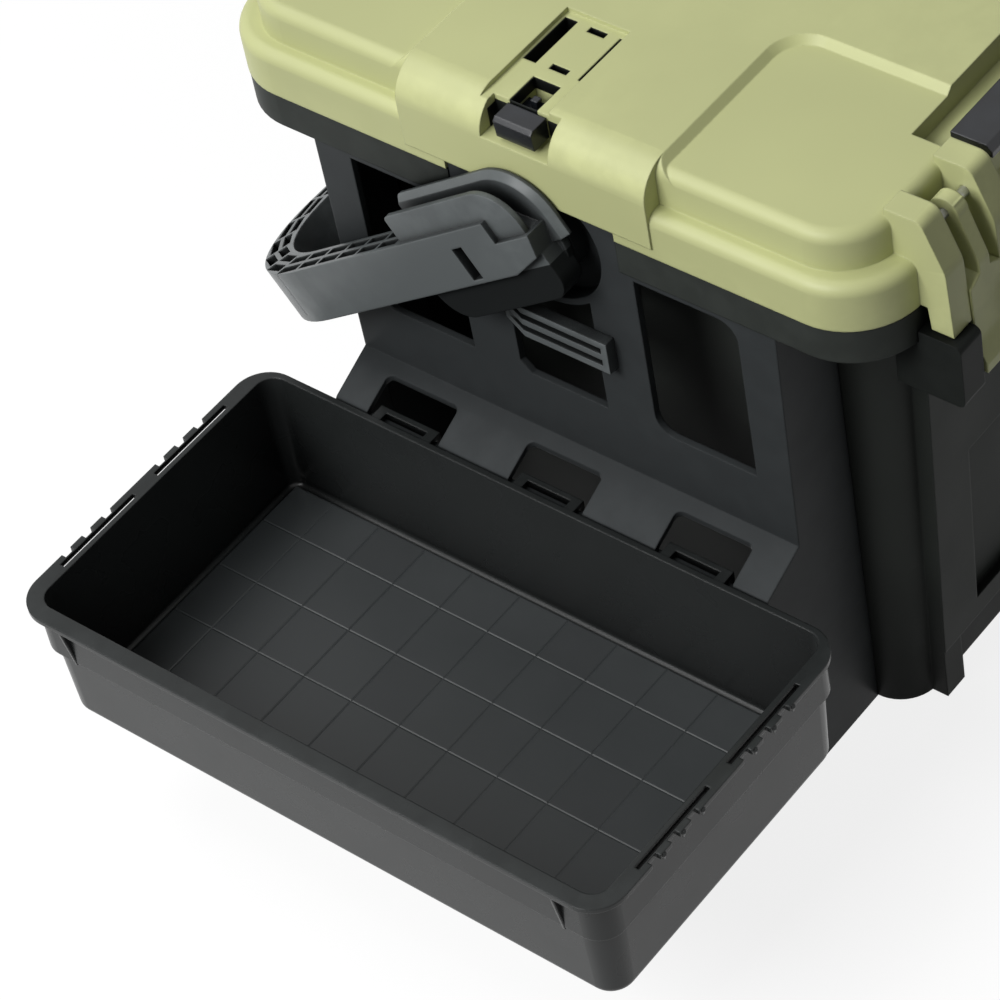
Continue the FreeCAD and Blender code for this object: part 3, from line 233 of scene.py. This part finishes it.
# ---------------------------------------------------------------- moulded detail, and black sheets of painted shade in the sockets
def add_piece(name, shape, body, slot, *materials):
    """An object made from a bmesh, riding on a body and taking the given materials; the slot is not
    used.
    """
    mesh = bpy.data.meshes.new(name)
    shape.to_mesh(mesh)
    shape.free()
    for material in materials:
        mesh.materials.append(material)
    piece = bpy.data.objects.new(name, mesh)
    bpy.context.scene.collection.objects.link(piece)
    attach(piece, body)
    return piece


def prism(shape, outline, low, high):
    """Adds a solid between two levels; the outline and the levels are 3D points."""
    rings = [[shape.verts.new(Vector(p) + Vector(level)) for p in outline] for level in (low, high)]
    shape.faces.new(list(reversed(rings[0])))
    shape.faces.new(rings[1])
    for i in range(len(outline)):
        j = (i + 1) % len(outline)
        shape.faces.new((rings[0][i], rings[0][j], rings[1][j], rings[1][i]))


def make_floor_tiles():
    """The tray's floor is moulded in shallow tiles with a fine groove between them."""
    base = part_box("hanging_tray")[0][2] + 2.25 * MM
    xs = [x * MM for x in (-388.6, -362.2, -334.0, -305.8, -277.6, -255.6)]
    ys = [(114.0 - 24.56 * k) * MM for k in range(9, -1, -1)]
    ys = [-131.6 * MM] + ys + [134.4 * MM]
    groove, rise = 0.55 * MM, 0.22 * MM
    shape = bmesh.new()
    grid = [[shape.verts.new((x, y, base)) for y in ys] for x in xs]
    for i in range(len(xs) - 1):
        for j in range(len(ys) - 1):
            ring = [grid[i][j], grid[i + 1][j], grid[i + 1][j + 1], grid[i][j + 1]]
            centre = sum((v.co for v in ring), Vector()) / 4
            top = []
            for corner in ring:
                way = centre - corner.co
                step = Vector((math.copysign(groove, way.x), math.copysign(groove, way.y), rise))
                top.append(shape.verts.new(corner.co + step))
            shape.faces.new(top).material_index = 1 if (5 * i + 3 * j + i * j) % 4 == 0 else 0
            for k in range(4):
                n = (k + 1) % 4
                shape.faces.new((ring[k], ring[n], top[n], top[k]))
    bmesh.ops.recalc_face_normals(shape, faces=shape.faces)
    bmesh.ops.solidify(shape, geom=list(shape.faces), thickness=0.3 * MM)
    add_piece("tray_floor_tiles", shape, "tray", "black_plastic", tile_skin, tile_dull)


def make_rim_beads():
    """A small drop-shaped bead beside each notch in the tray's short rims."""
    low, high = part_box("hanging_tray")
    shape = bmesh.new()
    rear, pitch, aside = -248.2 * MM, 11.9, 1.3
    middle = (low[0] + rear) / 2
    for edge, way in ((low[1], -1), (high[1], 1)):
        for group in (-28.2, 28.2):
            for number in (-1, 0, 1):
                x = middle + (group + aside + pitch * number) * MM
                made = bmesh.ops.create_uvsphere(
                    shape, u_segments=14, v_segments=10, radius=BEAD
                )
                for vert in made["verts"]:
                    drop = max(0.0, -vert.co.z / BEAD)
                    vert.co.x *= 1 - 0.45 * drop
                    vert.co.y *= 1 - 0.45 * drop
                    vert.co.z *= 1 + 1.3 * drop
                    vert.co += Vector((x, edge - way * 0.4 * MM, TRAY_RIM - 1.7 * MM))
    add_piece("tray_rim_beads", shape, "tray", "black_plastic", tray_skin)


def make_gussets():
    """Two thin webs that hold the front rim of the tray to its wall."""
    shape = bmesh.new()
    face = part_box("hanging_tray")[0][0]
    foot, bend, top = 0.0924, 0.1130, 0.1158
    half = 0.8
    for y in (-119.6, 122.1):
        outline = [
            (face + 4.6 * MM, 0, foot),
            (face + 4.1 * MM, 0, foot),
            (face + 0.9 * MM, 0, bend),
            (face + 0.9 * MM, 0, top),
            (face + 4.6 * MM, 0, top),
        ]
        prism(shape, outline, (0, (y - half) * MM, 0), (0, (y + half) * MM, 0))
    bmesh.ops.recalc_face_normals(shape, faces=shape.faces)
    bmesh.ops.bevel(shape, geom=shape.edges, offset=0.25 * MM, segments=2, affect="EDGES")
    add_piece("tray_gussets", shape, "tray", "black_plastic", tray_skin)


def sleeve(shape, xs, ys, zs, wall=0.35):
    """A thin rectangular tube, in millimetres, that lines an opening from above, as a sheet of
    painted shade.
    """
    rings = []
    for inset in (0.02, wall):
        for z in zs:
            corners = [(0, 0), (1, 0), (1, 1), (0, 1)]
            ring = []
            for i, j in corners:
                x = xs[i] + (inset if i == 0 else -inset)
                y = ys[j] + (inset if j == 0 else -inset)
                ring.append(shape.verts.new((x * MM, y * MM, z * MM)))
            rings.append(ring)
    outer_low, outer_high, inner_low, inner_high = rings
    walls = (
        (outer_low, outer_high), (outer_high, inner_high),
        (inner_high, inner_low), (inner_low, outer_low),
    )
    for first, second in walls:
        for i in range(4):
            j = (i + 1) % 4
            shape.faces.new((first[i], first[j], second[j], second[i]))


def cheek(shape, way, xs, ys, top):
    """A thin upright plate on a wall of the catch opening, as a sheet of painted shade; xs and ys in
    millimetres.
    """
    corners = [(xs[0], ys[0]), (xs[0], ys[1]), (xs[1], ys[1]), (xs[1], ys[0])]
    outline = [(way * x * MM, y * MM, 0) for x, y in corners]
    prism(shape, outline, (0, 0, CATCH_FLOOR), (0, 0, top))


def make_socket_shade_sheets():
    """Black sheets of painted shade over the olive walls of the slots, slit, holes and catch opening
    of both sockets.
    """
    for side, way in (("left", -1), ("right", 1)):
        shape = bmesh.new()
        near, far = 169.0, 195.0
        depth = (283.0, 294.75)
        for x0, x1, ys, zs in (
            (near, far, (14.0, 20.0), depth),
            (near, far, (-8.0, -5.4), depth),
            (near, near + 3.0, (0.0, 8.0), depth),
            (far - 3.0, far, (0.0, 8.0), depth),
            (201.0, 215.5, (-2.5, 10.3), (289.6, 294.75)),
        ):
            sleeve(shape, sorted((way * x0, way * x1)), ys, zs)
        for ys in ((10.8, 17.3), (-13.8, -7.2)):
            cheek(shape, way, (215.55, 215.9), ys, 0.2925)
        cheek(shape, way, (216.0, 220.5), (17.1, 17.45), 0.2915)
        bmesh.ops.recalc_face_normals(shape, faces=shape.faces)
        add_piece("socket_shade_sheet_" + side, shape, "lid", "black_plastic", dark)


make_socket_shade_sheets()
make_floor_tiles()
make_rim_beads()
make_gussets()


# ---------------------------------------------------------------- floor, light, camera
def make_floor():
    """A wide pale floor that looks nearly white and keeps the object's shadow."""
    mesh = bpy.data.meshes.new("floor")
    reach = 30.0
    corners = [(-reach, -reach, 0), (reach, -reach, 0), (reach, reach, 0), (-reach, reach, 0)]
    mesh.from_pydata(corners, [], [(0, 1, 2, 3)])
    floor = bpy.data.objects.new("floor", mesh)
    bpy.context.scene.collection.objects.link(floor)
    floor.location.z = -0.0006
    g = Graph("floor_paint")
    pale = g.ramp(g.noise(1.5), (0.3, (0.86, 0.86, 0.86)), (0.7, (0.89, 0.89, 0.89)))
    g.shader.inputs["Roughness"].default_value = 0.8
    g.shader.inputs["Specular IOR Level"].default_value = 0.1
    lit = g.add("ShaderNodeEmission", Strength=1.05)
    path = g.add("ShaderNodeLightPath")
    bounce = g.add("ShaderNodeMix", data_type="RGBA")
    g.link(path.outputs["Is Diffuse Ray"], bounce.inputs["Factor"])
    g.link(pale, bounce.inputs["A"])
    bounce.inputs["B"].default_value = (0.22, 0.22, 0.22, 1)
    g.link(bounce.outputs["Result"], g.shader.inputs["Base Color"])
    seen = g.add("ShaderNodeMath", operation="MAXIMUM")
    g.link(path.outputs["Is Camera Ray"], seen.inputs[0])
    g.link(path.outputs["Is Glossy Ray"], seen.inputs[1])
    share = g.add("ShaderNodeMath", operation="MULTIPLY")
    g.link(seen.outputs["Value"], share.inputs[0])
    share.inputs[1].default_value = 0.8
    both = g.add("ShaderNodeMixShader")
    g.link(share.outputs["Value"], both.inputs["Fac"])
    g.link(g.shader.outputs["BSDF"], both.inputs[1])
    g.link(lit.outputs["Emission"], both.inputs[2])
    g.link(both.outputs["Shader"], g.output.inputs["Surface"])
    mesh.materials.append(g.material)


def make_world(ambient):
    """A plain room: grey light all round, seen as white."""
    world = bpy.data.worlds.new("room")
    world.use_nodes = True
    bpy.context.scene.world = world
    tree = world.node_tree
    ground = next(n for n in tree.nodes if n.type == "BACKGROUND")
    path = tree.nodes.new("ShaderNodeLightPath")
    seen = tree.nodes.new("ShaderNodeMath")
    seen.operation = "MAXIMUM"
    more = tree.nodes.new("ShaderNodeMath")
    more.operation = "MAXIMUM"
    tree.links.new(path.outputs["Is Camera Ray"], seen.inputs[0])
    tree.links.new(path.outputs["Is Transmission Ray"], seen.inputs[1])
    tree.links.new(seen.outputs["Value"], more.inputs[0])
    tree.links.new(path.outputs["Is Glossy Ray"], more.inputs[1])
    level = tree.nodes.new("ShaderNodeMapRange")
    level.inputs["To Min"].default_value = ambient
    level.inputs["To Max"].default_value = 1.0
    tree.links.new(more.outputs["Value"], level.inputs["Value"])
    tree.links.new(level.outputs["Result"], ground.inputs["Strength"])
    ground.inputs["Color"].default_value = (1, 1, 1, 1)


def add_lamp(name, place, aim, size, power):
    """A square soft light that faces a point."""
    lamp = bpy.data.lights.new(name, "AREA")
    lamp.size = size
    lamp.energy = power
    thing = bpy.data.objects.new(name, lamp)
    bpy.context.scene.collection.objects.link(thing)
    thing.location = place
    thing.rotation_euler = (Vector(aim) - Vector(place)).to_track_quat("-Z", "Y").to_euler()


def make_camera():
    """The camera at its place, turned by its azimuth, elevation and roll."""
    azimuth, elevation, roll = (math.radians(angle) for angle in CAMERA_ANGLES)
    back = Vector((
        math.sin(azimuth) * math.cos(elevation),
        -math.cos(azimuth) * math.cos(elevation),
        math.sin(elevation),
    ))
    level = (-back).cross(Vector((0, 0, 1))).normalized()
    up = level.cross(-back)
    right = level * math.cos(roll) + up * math.sin(roll)
    up = up * math.cos(roll) - level * math.sin(roll)
    data = bpy.data.cameras.new("camera")
    data.lens, data.sensor_width = 148.63, 36.0
    data.clip_start, data.clip_end = 0.05, 100.0
    camera = bpy.data.objects.new("camera", data)
    bpy.context.scene.collection.objects.link(camera)
    camera.matrix_world = Matrix.Translation(CAMERA_PLACE) @ Matrix(
        (right, up, back)
    ).transposed().to_4x4()
    bpy.context.scene.camera = camera


make_floor()
make_world(0.13)
add_lamp("key", (-1.9, 0.4, 1.7), MIDDLE, 1.2, 50)
add_lamp("top", (-0.5, 1.0, 2.0), MIDDLE, 1.0, 16)
make_camera()
bpy.context.scene.view_settings.view_transform = "Standard"
